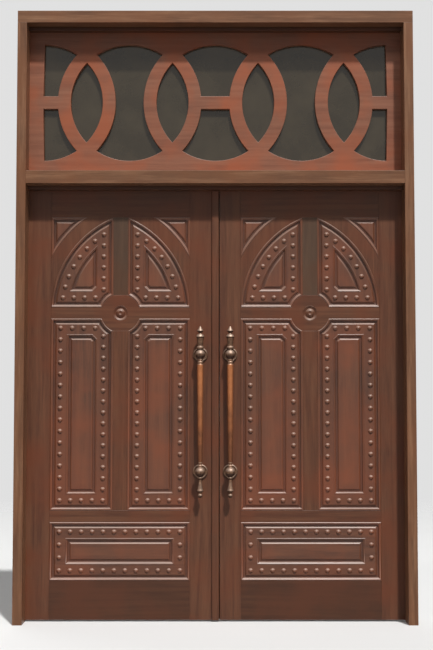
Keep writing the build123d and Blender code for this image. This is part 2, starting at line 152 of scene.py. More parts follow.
def eased(section, radius):
    """Section with its inner corners rounded off."""
    points = [section[0]]
    for before, corner, after in zip(section, section[1:], section[2:]):
        to_before = Vector(before) - Vector(corner)
        to_after = Vector(after) - Vector(corner)
        reach = min(radius, to_before.length / EASE_LIMIT, to_after.length / EASE_LIMIT)
        start = Vector(corner) + to_before.normalized() * reach
        end = Vector(corner) + to_after.normalized() * reach
        for step in range(EASE_STEPS + 1):
            t = step / EASE_STEPS
            point = start * (1 - t) ** 2 + Vector(corner) * 2 * t * (1 - t) + end * t ** 2
            points.append(tuple(point))
    return points + [section[-1]]


def arc(centre, radius, start, end, steps):
    """Points along a round stretch, both ends included."""
    angles = [start + (end - start) * index / steps for index in range(steps + 1)]
    return [(centre[0] + radius * math.cos(a), centre[1] + radius * math.sin(a)) for a in angles]


def at_depth(outline, y):
    """Elevation outline as points in space."""
    return [(x, y, z) for x, z in outline]


class Shell:
    """Vertices, faces and a wear-and-shade value for each vertex, gathered before a mesh is made: pale wear
    above 0, dark glaze and painted shade below 0.
    """

    def __init__(self):
        self.vertices = []
        self.faces = []
        self.patina = []

    def loop(self, points, patina=0.0):
        """Adds one ring of points and returns their indices."""
        first = len(self.vertices)
        self.vertices.extend(points)
        self.patina.extend([patina] * len(points))
        return list(range(first, first + len(points)))

    def bridge(self, one, other):
        """Adds the strip of quads between two rings of equal length."""
        for index in range(len(one)):
            self.faces.append((one[index - 1], one[index], other[index], other[index - 1]))

    def cap(self, ring):
        """Closes one ring with a face."""
        self.faces.append(tuple(ring))

    def add(self, other):
        """Takes in all of another shell."""
        first = len(self.vertices)
        self.vertices.extend(other.vertices)
        self.patina.extend(other.patina)
        self.faces.extend(tuple(index + first for index in face) for face in other.faces)
        return self

    def mapped(self, change):
        """Copy with every vertex moved by a function."""
        copy = Shell()
        copy.vertices = [change(*vertex) for vertex in self.vertices]
        copy.faces = list(self.faces)
        copy.patina = list(self.patina)
        return copy


def stacked(loops, closed=False):
    """Shell through a list of point rings and wear-and-shade values, capped at both ends or closed on itself.
    """
    shell = Shell()
    rings = [shell.loop(points, patina) for points, patina in loops]
    for one, other in zip(rings, rings[1:]):
        shell.bridge(one, other)
    if closed:
        shell.bridge(rings[-1], rings[0])
    else:
        shell.cap(rings[0])
        shell.cap(rings[-1])
    return shell


def turned(profile, segments=TURN_SEGMENTS):
    """Shell turned about Z from radius and height points, with flat ends."""
    turns = [2 * math.pi * index / segments for index in range(segments)]
    loops = []
    for radius, height in profile:
        loops.append(([(radius * math.cos(a), radius * math.sin(a), height) for a in turns], 0.0))
    return stacked(loops)


def joined(mesh, one, other):
    """Adds the strip of quads between two rings of mesh vertices."""
    for index in range(len(one)):
        mesh.faces.new((one[index - 1], one[index], other[index], other[index - 1]))


def filled(mesh, rings):
    """Adds the flat face that some rings of mesh vertices bound."""
    edges = []
    for ring in rings:
        for index in range(len(ring)):
            edges.append(mesh.edges.get((ring[index - 1], ring[index])))
    bmesh.ops.triangle_fill(mesh, use_beauty=True, edges=edges)


def shell_of(mesh):
    """Shell with the vertices and faces of a working mesh, which is freed."""
    shell = Shell()
    mesh.verts.index_update()
    shell.loop([tuple(vertex.co) for vertex in mesh.verts])
    shell.faces = [tuple(vertex.index for vertex in face.verts) for face in mesh.faces]
    mesh.free()
    return shell


def plate(outer, holes, near_y, far_y, ease):
    """Flat board with eased through holes; outlines are functions of how far the wood draws back."""
    mesh = bmesh.new()
    knee = EASE_KNEE * ease
    depths = [(ease, near_y), (knee, near_y + knee), (0.0, near_y + ease)]
    depths += [(0.0, far_y - ease), (knee, far_y - knee), (ease, far_y)]
    near_rings = []
    far_rings = []
    for outline in [outer] + holes:
        rings = []
        for back_off, y in depths:
            rings.append([mesh.verts.new(point) for point in at_depth(outline(back_off), y)])
        for one, other in zip(rings, rings[1:]):
            joined(mesh, one, other)
        near_rings.append(rings[0])
        far_rings.append(rings[-1])
    filled(mesh, near_rings)
    filled(mesh, far_rings)
    return shell_of(mesh)


def piece(name, shell, material, body, replaced):
    """Mesh object made from a shell, riding on a body in place of CAD nodes."""
    mesh = bpy.data.meshes.new(name)
    mesh.from_pydata(shell.vertices, [], shell.faces)
    attribute = mesh.attributes.new("patina", "FLOAT", "POINT")
    attribute.data.foreach_set("value", shell.patina)
    work = bmesh.new()
    work.from_mesh(mesh)
    bmesh.ops.recalc_face_normals(work, faces=work.faces)
    work.to_mesh(mesh)
    work.free()
    mesh.shade_smooth()
    mesh.set_sharp_from_angle(angle=SHARP_ANGLE)
    mesh.materials.append(material)
    made = bpy.data.objects.new(name, mesh)
    bpy.context.scene.collection.objects.link(made)
    normals = made.modifiers.new("normals", "WEIGHTED_NORMAL")
    normals.keep_sharp = True
    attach(made, body)
    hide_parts(*replaced)
    return made


# Shader helpers

def shader_node(tree, kind, settings=None, **inputs):
    """Shader node with its settings and its inputs, which go by name, or by number as in i0."""
    made = tree.nodes.new(kind)
    for key, value in (settings or {}).items():
        setattr(made, key, value)
    for key, value in inputs.items():
        numbered = key[0] == "i" and key[1:].isdigit()
        socket = made.inputs[int(key[1:]) if numbered else key]
        if isinstance(value, bpy.types.NodeSocket):
            tree.links.new(value, socket)
        else:
            socket.default_value = value
    return made


def new_material(name):
    """Empty node material with its output and main shader."""
    material = bpy.data.materials.new(name)
    material.use_nodes = True
    tree = material.node_tree
    tree.nodes.clear()
    output = tree.nodes.new("ShaderNodeOutputMaterial")
    shader = tree.nodes.new("ShaderNodeBsdfPrincipled")
    tree.links.new(shader.outputs["BSDF"], output.inputs["Surface"])
    return material, tree, shader


def linear(red, green, blue):
    """Scene colour of a screen colour given in 0 to 255."""
    values = []
    for part in (red, green, blue):
        share = part / 255
        values.append(share / 12.92 if share <= 0.04045 else ((share + 0.055) / 1.055) ** 2.4)
    return (*values, 1.0)


def mixed(tree, factor, one, other, kind="MIX"):
    """Colour mix of two colours or sockets."""
    settings = {"data_type": "RGBA", "blend_type": kind}
    return shader_node(tree, "ShaderNodeMix", settings, i0=factor, i6=one, i7=other).outputs[2]


def ramp(tree, value, low, high):
    """Value stretched so that low becomes 0 and high becomes 1."""
    return shader_node(tree, "ShaderNodeMapRange", {"clamp": True}, i0=value, i1=low, i2=high).outputs[0]


def spread(tree, share, low, high):
    """Value that runs from low to high while a share runs from 0 to 1."""
    return shader_node(tree, "ShaderNodeMapRange", i0=share, i3=low, i4=high).outputs[0]


def computed(tree, operation, *values, clamp=False):
    """Result of a maths node on values or sockets."""
    inputs = {"i" + str(index): value for index, value in enumerate(values)}
    settings = {"operation": operation, "use_clamp": clamp}
    return shader_node(tree, "ShaderNodeMath", settings, **inputs).outputs[0]


def noise(tree, vector, scale, **inputs):
    """Grey value of a noise texture."""
    return shader_node(tree, "ShaderNodeTexNoise", Vector=vector, Scale=scale, **inputs).outputs[0]


def own_point(tree):
    """Shaded point in its object's own frame."""
    return tree.nodes.new("ShaderNodeTexCoord").outputs["Object"]


def upright_part(tree, vector):
    """Z of a vector."""
    return shader_node(tree, "ShaderNodeSeparateXYZ", Vector=vector).outputs[2]


def tilt_of(tree):
    """How far the shaded face looks up, from -1 to 1."""
    return upright_part(tree, tree.nodes.new("ShaderNodeNewGeometry").outputs["Normal"])


# Wood: scales, contrasts and weights of its grain, then wear, glaze with painted shade, dust with a painted
# highlight, and varnish

GRAIN_STRETCH = 0.055
FIBRE_SCALE = 260.0
FIBRE_RANGE = (0.3, 0.7)
FIBRE_WEIGHT = 0.4
BAND_SCALE = 34.0
BAND_RANGE = (0.36, 0.64)
BAND_WEIGHT = 0.6
FIGURE_SCALE = 9.0
FIGURE_BEND = 9.0
FIGURE_RANGE = (0.55, 1.0)
BLOTCH_SCALE = 4.0
BLOTCH_RANGE = (0.42, 0.66)
WARMTH = 0.8
GLOW = 0.35
SCUFF_SCALE = 42.0
SCUFF_RANGE = (0.48, 0.75)
SCUFF_COLOUR = linear(176, 132, 100)
# Tint of the dark glaze, which also paints shade into hollows
GLAZE_AND_SHADE_TINT = (0.30, 0.24, 0.22, 1.0)
RUB = 0.3
RUB_COLOUR = linear(168, 122, 98)
# Pale dust on faces that look up, which also stands for a painted highlight where light from above falls
DUST_AND_HIGHLIGHT = 0.4
DUST_AND_HIGHLIGHT_RANGE = (0.12, 0.55)
DUST_AND_HIGHLIGHT_COLOUR = linear(196, 170, 154)
WOOD_ROUGHNESS = (0.34, 0.48)
WOOD_SPECULAR = 0.2
WOOD_BUMP = 0.25
WOOD_BUMP_DEPTH = 0.6 * MM
VARNISH_ROUGHNESS = 0.42


def wood(name, light, dark, warm, along, figure=0.0, worn=0.0, offset=0.0, gloss=0.25, glow=None):
    """Stained and varnished wood with its grain along an axis and warm patches.

    Its wear-and-shade values give dark glaze and painted shade in grooves and pale wear on edges, and faces
    that look up turn pale with dust and a painted highlight.
    The two heights in glow are where it starts to turn warmer and where it is warmest.
    """
    material, tree, shader = new_material(name)
    point = own_point(tree)
    stretch = [1.0, 1.0, 1.0]
    stretch["XYZ".index(along)] = GRAIN_STRETCH
    grain = shader_node(
        tree, "ShaderNodeMapping", Vector=point, Location=(offset, offset, offset), Scale=stretch,
    ).outputs[0]
    fibre = noise(tree, grain, FIBRE_SCALE, Detail=5.0, Roughness=0.65)
    band = noise(tree, grain, BAND_SCALE, Detail=4.0, Distortion=0.8)
    blotch = noise(tree, point, BLOTCH_SCALE, Detail=3.0, Roughness=0.6)
    tone = computed(tree, "MULTIPLY", ramp(tree, fibre, *FIBRE_RANGE), FIBRE_WEIGHT)
    tone = computed(tree, "MULTIPLY_ADD", ramp(tree, band, *BAND_RANGE), BAND_WEIGHT, tone)
    colour = mixed(tree, tone, dark, light)
    if figure:
        rings = shader_node(
            tree, "ShaderNodeTexWave", {"bands_direction": "Z"},
            Vector=grain, Scale=FIGURE_SCALE, Distortion=FIGURE_BEND, Detail=2.5,
        ).outputs[1]
        lines = computed(tree, "MULTIPLY", ramp(tree, rings, *FIGURE_RANGE), figure)
        colour = mixed(tree, lines, colour, dark)
    warmth = computed(tree, "MULTIPLY", ramp(tree, blotch, *BLOTCH_RANGE), WARMTH)
    if glow:
        lower = ramp(tree, upright_part(tree, point), *glow)
        warmth = computed(tree, "MULTIPLY_ADD", lower, GLOW, warmth, clamp=True)
    colour = mixed(tree, warmth, colour, warm)
    if worn:
        scuff = noise(tree, grain, SCUFF_SCALE, Detail=8.0, Roughness=0.75)
        bare = computed(tree, "MULTIPLY", ramp(tree, scuff, *SCUFF_RANGE), worn)
        colour = mixed(tree, bare, colour, SCUFF_COLOUR)
    patina = shader_node(tree, "ShaderNodeAttribute", {"attribute_name": "patina"}).outputs["Fac"]
    # Dark glaze and painted shade where the wear-and-shade value is below 0
    colour = mixed(tree, ramp(tree, patina, 0.0, -1.0), colour, GLAZE_AND_SHADE_TINT, "MULTIPLY")
    rubbed = computed(tree, "MULTIPLY", ramp(tree, patina, 0.0, 1.0), RUB)
    colour = mixed(tree, rubbed, colour, RUB_COLOUR)
    # Faces that look up turn pale: dust, and a painted highlight
    dust = computed(tree, "MULTIPLY", ramp(tree, tilt_of(tree), *DUST_AND_HIGHLIGHT_RANGE), DUST_AND_HIGHLIGHT)
    colour = mixed(tree, dust, colour, DUST_AND_HIGHLIGHT_COLOUR)
    tree.links.new(colour, shader.inputs["Base Color"])
    tree.links.new(spread(tree, fibre, *WOOD_ROUGHNESS), shader.inputs["Roughness"])
    bump = shader_node(tree, "ShaderNodeBump", Height=fibre, Strength=WOOD_BUMP, Distance=WOOD_BUMP_DEPTH)
    tree.links.new(bump.outputs[0], shader.inputs["Normal"])
    shader.inputs["Specular IOR Level"].default_value = WOOD_SPECULAR
    shader.inputs["Coat Weight"].default_value = gloss
    shader.inputs["Coat Roughness"].default_value = VARNISH_ROUGHNESS
    return material


# Metal: cloudy tarnish, painted shade on undersides, and tops pale with dust and a painted sheen

TARNISH_RANGE = (0.35, 0.7)
TARNISH_CLOUD = 0.5
TARNISH_DULLING = 0.2
# Undersides take painted shade, and tops take a painted sheen with dust
UNDERSIDE_SHADE_RANGE = (-0.02, -0.4)
TOP_SHEEN_AND_DUST_RANGE = (0.02, 0.5)
TOP_SHEEN_AND_DUST_COLOUR = linear(196, 172, 154)
METAL_BUMP = 0.12
METAL_BUMP_DEPTH = 0.4 * MM


def metal(name, bright, tarnished, rough, scale, bare=1.0, dust_and_sheen=0.0, aged=None, collars=None):
    """Metal that is darker where it has tarnished and, as painted shade, on its undersides, and pale on top
    with dust and a painted sheen.

    The two heights in aged are where more tarnish sets in and where it is full. In collars are the
    middle height of a bar, half the length between its collars, and the collars' colour.
    """
    material, tree, shader = new_material(name)
    point = own_point(tree)
    cloud = noise(tree, point, scale, Detail=6.0, Roughness=0.7)
    share = ramp(tree, cloud, *TARNISH_RANGE)
    if aged:
        lower = ramp(tree, upright_part(tree, point), *aged)
        cloudy = computed(tree, "MULTIPLY", share, TARNISH_CLOUD)
        share = computed(tree, "ADD", cloudy, lower, clamp=True)
    colour = mixed(tree, share, bright, tarnished)
    if collars:
        middle, half, tint = collars
        between = computed(tree, "COMPARE", upright_part(tree, point), middle, half)
        colour = mixed(tree, between, tint, colour)
    if dust_and_sheen:
        tilt = tilt_of(tree)
        # Painted shade: undersides turn to the tarnished colour
        colour = mixed(tree, ramp(tree, tilt, *UNDERSIDE_SHADE_RANGE), colour, tarnished)
        # Painted sheen and dust: faces that look up turn pale
        pale = computed(tree, "MULTIPLY", ramp(tree, tilt, *TOP_SHEEN_AND_DUST_RANGE), dust_and_sheen)
        colour = mixed(tree, pale, colour, TOP_SHEEN_AND_DUST_COLOUR)
    tree.links.new(colour, shader.inputs["Base Color"])
    tree.links.new(spread(tree, share, rough, rough + TARNISH_DULLING), shader.inputs["Roughness"])
    bump = shader_node(tree, "ShaderNodeBump", Height=cloud, Strength=METAL_BUMP, Distance=METAL_BUMP_DEPTH)
    tree.links.new(bump.outputs[0], shader.inputs["Normal"])
    shader.inputs["Metallic"].default_value = bare
    return material


# Glass and pile

GLASS_COLOURS = (linear(62, 54, 41), linear(77, 68, 53))
GLASS_DUST_SCALE = 6.0
GLASS_DUST_RANGE = (0.35, 0.75)
GLASS_ROUGHNESS = (0.08, 0.25)
GLASS_TRANSMISSION = 0.25
PILE_COLOURS = (linear(78, 50, 38), linear(104, 70, 53))
PILE_SCALE = 900.0
PILE_RANGE = (0.4, 0.75)
PILE_ROUGHNESS = 0.95
PILE_SPECULAR = 0.1


def dark_glass(name):
    """Dark pane with a faint film of dust."""
    material, tree, shader = new_material(name)
    dust = noise(tree, own_point(tree), GLASS_DUST_SCALE, Detail=6.0, Roughness=0.6)
    share = ramp(tree, dust, *GLASS_DUST_RANGE)
    tree.links.new(mixed(tree, share, *GLASS_COLOURS), shader.inputs["Base Color"])
    tree.links.new(spread(tree, share, *GLASS_ROUGHNESS), shader.inputs["Roughness"])
    shader.inputs["Transmission Weight"].default_value = GLASS_TRANSMISSION
    return material


def fibre_pile(name):
    """Brown pile with lighter fibre ends."""
    material, tree, shader = new_material(name)
    share = ramp(tree, noise(tree, own_point(tree), PILE_SCALE, Detail=2.0), *PILE_RANGE)
    tree.links.new(mixed(tree, share, *PILE_COLOURS), shader.inputs["Base Color"])
    shader.inputs["Roughness"].default_value = PILE_ROUGHNESS
    shader.inputs["Specular IOR Level"].default_value = PILE_SPECULAR
    return material


# Materials; wood colours are of its light and dark grain and its warm patches

LEAF_COLOURS = (linear(114, 74, 52), linear(79, 45, 30), linear(109, 59, 37))
# Darker wood of the bottom rails, also used as painted shade on the head and transom stops
FOOT_AND_SHADE_COLOURS = (linear(88, 54, 36), linear(66, 38, 23), linear(90, 50, 31))
PANEL_COLOURS = (linear(116, 71, 47), linear(79, 44, 27), linear(124, 66, 39))
GREY_COLOURS = (linear(94, 70, 53), linear(72, 52, 39), linear(88, 56, 37))
FRAME_COLOURS = (linear(130, 90, 64), linear(97, 64, 44), linear(124, 80, 53))
FRET_COLOURS = (linear(154, 104, 81), linear(122, 76, 58), linear(164, 90, 60))
COLLAR_COLOUR = linear(138, 106, 84)
PANEL_GLOSS = 0.7
FRAME_WEAR = 0.6
GLOW_SHARES = (0.6, 0.2)
GRIP_AGED = (1.15, 0.72)
tall_height = tall_high.z - tall_low.z
tall_glow = [tall_low.z + share * tall_height for share in GLOW_SHARES]
MATERIALS = {
    "leaf_upright": wood("leaf_upright", *LEAF_COLOURS, "Z"),
    "leaf_cross": wood("leaf_cross", *LEAF_COLOURS, "X", figure=0.45, offset=3.1),
    "leaf_foot_and_shade": wood("leaf_foot_and_shade", *FOOT_AND_SHADE_COLOURS, "X", figure=0.5, offset=4.4),
    "muntin": wood("muntin", *GREY_COLOURS, "Z", offset=1.7),
    "panel_upright": wood(
        "panel_upright", *PANEL_COLOURS, "Z", offset=5.3, gloss=PANEL_GLOSS, glow=tall_glow,
    ),
    "panel_cross": wood("panel_cross", *PANEL_COLOURS, "X", offset=6.1, gloss=PANEL_GLOSS),
    "frame_upright": wood("frame_upright", *FRAME_COLOURS, "Z", worn=FRAME_WEAR, offset=7.9),
    "frame_cross": wood("frame_cross", *FRAME_COLOURS, "X", worn=FRAME_WEAR, offset=8.3),
    "fret_board": wood("fret_board", *FRET_COLOURS, "X", figure=0.3, offset=9.7),
    "brass": metal(
        "brass", linear(136, 102, 78), linear(66, 45, 34), rough=0.44, scale=60.0, bare=0.7, dust_and_sheen=0.6,
    ),
    "bronze": metal(
        "bronze", linear(192, 122, 77), linear(116, 73, 49), rough=0.42, scale=24.0, bare=0.8, dust_and_sheen=0.4,
        aged=GRIP_AGED, collars=(bar_middle, bar_half - BAR_COLLAR, COLLAR_COLOUR),
    ),
    "steel": metal("steel", linear(176, 172, 166), linear(120, 116, 110), rough=0.3, scale=40.0),
    "glass": dark_glass("glass"),
    "pile": fibre_pile("pile"),
}


# CAD nodes that keep their own shape: a material each, and eased edges on the wood

KEPT = {
    "frame_upright": ["left_jamb", "right_jamb"],
    "frame_cross": ["frame_head", "transom_bar", "glazing_beads"],
    "leaf_upright": ["left_cover_strip"],
    # The head and transom stops take the darker foot wood as painted shade
    "leaf_foot_and_shade": ["head_stop", "transom_stop"],
    "glass": ["fanlight_glass"],
    "leaf_cross": [],
    "muntin": [],
    "steel": [],
}
for side in SIDES:
    KEPT["leaf_upright"] += [side + "hinge_stile", side + "meeting_stile", side + "lower_muntin"]
    KEPT["leaf_foot_and_shade"].append(side + "bottom_rail")
    KEPT["leaf_cross"] += [side + "top_rail", side + "lower_rail"]
    KEPT["muntin"].append(side + "upper_muntin")
    KEPT["steel"].append(side + "hinge_pins")


def ease_edges(made):
    """Rounds the sharp edges of an object by modifiers, with even shading."""
    weld = made.modifiers.new("weld", "WELD")
    weld.merge_threshold = WELD_REACH
    bevel = made.modifiers.new("eased", "BEVEL")
    bevel.width = EDGE_EASE
    bevel.segments = EDGE_SEGMENTS
    bevel.limit_method = "ANGLE"
    bevel.angle_limit = EDGE_ANGLE
    made.modifiers.new("normals", "WEIGHTED_NORMAL")


for material_name, names in KEPT.items():
    for name in names:
        kept = nodes[name]
        kept.data.materials.clear()
        kept.data.materials.append(MATERIALS[material_name])
        if material_name not in ("glass", "steel"):
            ease_edges(kept)


# Leaf pattern, about the middle of a leaf with the meeting side at positive X

arch_foot_z, arch_crown_z = arch_low.z, arch_high.z
tall_foot_z, tall_head_z = tall_low.z, tall_high.z


def arch_centre():
    """Centre of the arch curve."""
    foot = Vector((panel_half, arch_foot_z))
    crown = Vector((muntin_half, arch_crown_z))
    chord = crown - foot
    reach = math.sqrt(ARCH_RADIUS ** 2 - (chord.length / 2) ** 2)
    inward = Vector((-chord.y, chord.x)).normalized()
    return (foot + crown) / 2 + inward * reach


def arch_curve(inset):
    """Curve of the arch, drawn in by an inset, from its foot to its crown."""
    centre = arch_centre()
    radius = ARCH_RADIUS - inset
    foot = math.asin((arch_foot_z + inset - centre.y) / radius)
    crown = math.acos((muntin_half + inset - centre.x) / radius)
    return arc(centre, radius, foot, crown, ARCH_STEPS)


def rib_curve(inset):
    """Outer curve of the arch rib, drawn out by an inset, from the top rail to the stile."""
    centre = arch_centre()
    radius = ARCH_RADIUS + RIB_WIDTH + inset
    top = math.asin((arch_crown_z - inset - centre.y) / radius)
    stile = math.acos((panel_half - inset - centre.x) / radius)
    return arc(centre, radius, top, stile, ARCH_STEPS)


def hub_curve(inset, level):
    """Edge of the hub, drawn out by an inset, from the muntin to the rail edge at a level."""
    radius = hub_radius + inset
    turn = math.copysign(1, level - hub_z)
    start = turn * math.acos((muntin_half + inset) / radius)
    end = turn * math.asin((abs(level - hub_z) + inset) / radius)
    return arc((0, hub_z), radius, start, end, HUB_STEPS)


def hub_corner(inset, level):
    """A panel's corner beside the hub: round at its edge, cut straight across in its inner field."""
    if inset < GROOVE_SECTION[0][0]:
        return hub_curve(inset, level)
    turn = math.copysign(1, level - hub_z)
    cut = max(FIELD_CHAMFER_LEAST, FIELD_CHAMFER - (inset - FIELD_INSET) * (2 - math.sqrt(2)))
    x = muntin_half + inset
    z = level + turn * inset
    start = Vector((x, z + turn * cut))
    end = Vector((x + cut, z))
    return [tuple(start.lerp(end, index / HUB_STEPS)) for index in range(HUB_STEPS + 1)]


def arch_outline(inset):
    """Half of the pointed arch."""
    return arch_curve(inset) + hub_corner(inset, arch_foot_z)


def tall_outline(inset):
    """Tall panel with the corner that the hub cuts."""
    outer = panel_half - inset
    low = tall_foot_z + inset
    corners = [(outer, tall_head_z - inset), (outer, low), (muntin_half + inset, low)]
    return corners + hub_corner(inset, tall_head_z)


def spandrel_outline(inset):
    """Corner over the arch rib."""
    return [(panel_half - inset, arch_crown_z - inset)] + rib_curve(inset)


def bottom_outline(inset):
    """Wide bottom panel."""
    half = panel_half - inset
    low = panel_low.z + inset
    high = panel_high.z - inset
    return [(half, high), (half, low), (-half, low), (-half, high)]


def patina_at(depth, crest):
    """Wear on a section's crest, and dark glaze with painted shade in its hollow, by depth."""
    if depth <= crest + CREST_REACH:
        return CREST_WEAR
    return -HOLLOW_GLAZE_AND_SHADE * min(1.0, max(0.0, (depth - crest - HOLLOW_START) / HOLLOW_REACH))


def moulding(outline):
    """Ring of moulding round one panel."""
    section = [(0.0, MOULDING_SEAT)] + MOULDING_SECTION
    section += [(MOULDING_WIDTH, MOULDING_FOOT), (MOULDING_WIDTH, MOULDING_SEAT)]
    crest = min(depth for inset, depth in MOULDING_SECTION)
    loops = []
    for inset, depth in eased(section, EASE):
        loops.append((at_depth(outline(inset), face_y + depth), patina_at(depth, crest)))
    return stacked(loops, closed=True)


def panel(outline, carved):
    """Panel board that rises inside its moulding to a band and, where it is carved, an inner field."""
    section = [(MOULDING_WIDTH, MOULDING_SEAT)] + BAND_SECTION
    if carved:
        section += GROOVE_SECTION
        section.append((section[-1][0] + EASE, section[-1][1]))
    else:
        section.append((section[-1][0] + EASE, BAND_DEPTH))
    back = at_depth(outline(0.0), panel_back_y)
    seat = at_depth(outline(0.0), face_y + MOULDING_SEAT)
    loops = [(back, 0.0), (seat, 0.0)]
    for inset, depth in eased(section, EASE):
        # Painted shade in the band's hollows, and on the band of a carved panel
        glaze_and_shade = min(0.0, patina_at(depth, BAND_DEPTH - BAND_CREST_LIFT))
        if carved and depth < BAND_DEPTH + BAND_REACH:
            glaze_and_shade = -BAND_SHADE
        loops.append((at_depth(outline(inset), face_y + depth), glaze_and_shade))
    if carved and outline is not arch_outline:
        inset, depth = section[-1]
        loops.append((at_depth(outline(inset + FIELD_STEP), face_y + depth), -FIELD_SHADE))
        loops.append((at_depth(outline(inset + FIELD_FADE), face_y + depth), 0.0))
    return stacked(loops)


def board(outline):
    """Flat piece as thick as the leaf."""
    return stacked([(at_depth(outline, face_y), 0.0), (at_depth(outline, back_y), 0.0)])


def rib():
    """Curved rib over one arched panel."""
    return board(arch_curve(0.0) + rib_curve(0.0))


def cross_rail(pocket_radius, pocket_depth):
    """Rail with the round hub in its middle and the pocket for the rosette."""
    upper = hub_curve(0.0, arch_foot_z)
    lower = hub_curve(0.0, tall_head_z)
    right = [(panel_half, tall_head_z), (panel_half, arch_foot_z)] + upper[::-1]
    left = [(-x, z) for x, z in upper] + [(-panel_half, arch_foot_z), (-panel_half, tall_head_z)]
    outline = right + left + [(-x, z) for x, z in lower[::-1]] + lower[:-1]
    pocket = arc((0, hub_z), pocket_radius, 0, 2 * math.pi, ROSETTE_SEGMENTS)[:-1]
    mesh = bmesh.new()
    front = [mesh.verts.new(point) for point in at_depth(outline, face_y)]
    back = [mesh.verts.new(point) for point in at_depth(outline, back_y)]
    mouth = [mesh.verts.new(point) for point in at_depth(pocket, face_y)]
    floor = [mesh.verts.new(point) for point in at_depth(pocket, face_y + pocket_depth)]
    joined(mesh, front, back)
    joined(mesh, mouth, floor)
    mesh.faces.new(back)
    mesh.faces.new(floor)
    filled(mesh, (front, mouth))
    return shell_of(mesh)


def flip(shell):
    """Shell mirrored from the meeting side of a leaf to its hinge side, or from leaf to leaf."""
    return shell.mapped(lambda x, y, z: (-x, y, z))


def leaf_place(shell, side):
    """Leaf pattern moved to the left or the right leaf."""
    placed = shell.mapped(lambda x, y, z: (x - pattern_x, y, z))
    return placed if side == "left_" else flip(placed)


# Studs and rosette

def dome(radius, height, segments, rings):
    """Round-topped stud about Z, standing on its flat foot."""
    sphere = (radius ** 2 + height ** 2) / (2 * height)
    edge = math.asin(radius / sphere)
    profile = []
    for index in range(rings):
        a = edge * (1 - index / rings)
        profile.append((sphere * math.sin(a), sphere * (math.cos(a) - 1) + height))
    profile.append((STUD_CROWN * radius, height))
    shell = turned(profile, segments)
    shell.patina = [STUD_WEAR * z / height for _, _, z in shell.vertices]
    return shell


def stud_domes(node):
    """Domes at the places of a leaf's CAD studs, which are read from the points of their tips."""
    low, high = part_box(node)
    height = high.y - low.y
    tips = {
        (round(vertex.co.x, STUD_DIGITS), round(vertex.co.z, STUD_DIGITS))
        for vertex in nodes[node].data.vertices if vertex.co.y < low.y + STUD_TIP * height
    }
    one = dome(STUD_RADIUS, height, STUD_SEGMENTS, STUD_RINGS)
    shell = Shell()
    for x, z in sorted(tips):
        shell.add(one.mapped(lambda a, b, c, x=x, z=z: (x + a, high.y - c, z + b)))
    return shell


def rosette(radius, depth, rise):
    """Turned dish with a raised button, about Z with its face up."""
    section = [
        (0.97 * radius, 0.0),
        (radius, 0.02 * depth),
        (radius, depth),
        (0.955 * radius, depth),
        (0.75 * radius, depth - 4.4 * MM),
        (0.735 * radius, depth - 6.2 * MM),
        (0.58 * radius, depth - 6.2 * MM),
        (0.54 * radius, depth - 3.0 * MM),
        (0.37 * radius, depth + 0.6 * MM),
        (0.28 * radius, depth + rise),
        (0.22 * radius, depth + 0.9 * rise),
        (0.12 * radius, depth),
        (0.02 * radius, depth - 0.2 * rise),
    ]
    return turned(eased(section, ROSETTE_EASE), ROSETTE_SEGMENTS)


# Pieces of both leaves

rosette_low, rosette_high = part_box("left_rosette")
rosette_radius = (rosette_high.x - rosette_low.x) / 2
rosette_depth = rosette_high.y - face_y
rosette_rise = face_y - rosette_low.y

for side in SIDES:
    body = side + "leaf"
    mouldings = Shell()
    for outline in (arch_outline, spandrel_outline, tall_outline):
        mouldings.add(moulding(outline))
        mouldings.add(flip(moulding(outline)))
    mouldings.add(moulding(bottom_outline))
    upright = MATERIALS["panel_upright"]
    piece(
        side + "moulding_rings", leaf_place(mouldings, side),
        upright, body, [side + "mouldings"],
    )
    for half, turn in (("inner_", lambda shell: shell), ("outer_", flip)):
        for kind, outline in (("arch_panel", arch_outline), ("tall_panel", tall_outline)):
            piece(
                side + half + kind + "_carved", leaf_place(turn(panel(outline, True)), side),
                upright, body, [side + half + kind],
            )
        made = piece(
            side + half + "arch_rib_curved", leaf_place(turn(rib()), side),
            MATERIALS["leaf_upright"], body, [side + half + "arch_rib"],
        )
        made.modifiers.clear()
        ease_edges(made)
    spandrels = panel(spandrel_outline, False)
    spandrels.add(flip(panel(spandrel_outline, False)))
    piece(
        side + "spandrel_boards", leaf_place(spandrels, side),
        upright, body, [side + "spandrel_panels"],
    )
    piece(
        side + "bottom_panel_carved", leaf_place(panel(bottom_outline, True), side),
        MATERIALS["panel_cross"], body, [side + "bottom_panel"],
    )
    made = piece(
        side + "hub_rail", leaf_place(cross_rail(rosette_radius, rosette_depth), side),
        MATERIALS["leaf_cross"], body, [side + "cross_rail"],
    )
    made.modifiers.clear()
    ease_edges(made)
    piece(
        side + "stud_domes", stud_domes(side + "studs"),
        upright, body, [side + "studs"],
    )
    dish = rosette(rosette_radius, rosette_depth, rosette_rise)
    dish = dish.mapped(lambda x, y, z: (x, face_y + rosette_depth - z, hub_z + y))
    piece(
        side + "rosette_turned", leaf_place(dish, side),
        MATERIALS["leaf_upright"], body, [side + "rosette"],
    )


# Fretwork of interlaced rings

fret_low, fret_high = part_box("fretwork")
window_half = fret_high.x - FRET_STILE
ring_pitch = 2 * window_half / (RING_COUNT - 1)
ring_radius = ring_pitch * RING_RADIUS_SHARE
ring_outer = ring_radius + RING_BAND
ring_z = fret_low.z + FRET_BOTTOM_RAIL + ring_radius


def lens(x, back_off):
    """Hole inside two neighbouring rings whose middle is at x."""
    half = ring_pitch / 2
    radius = ring_radius + back_off
    a = math.acos(half / radius)
    right = arc((x - half, ring_z), radius, -a, a, FRET_STEPS)
    left = arc((x + half, ring_z), radius, math.pi - a, math.pi + a, FRET_STEPS)
    return right[:-1] + left[:-1]


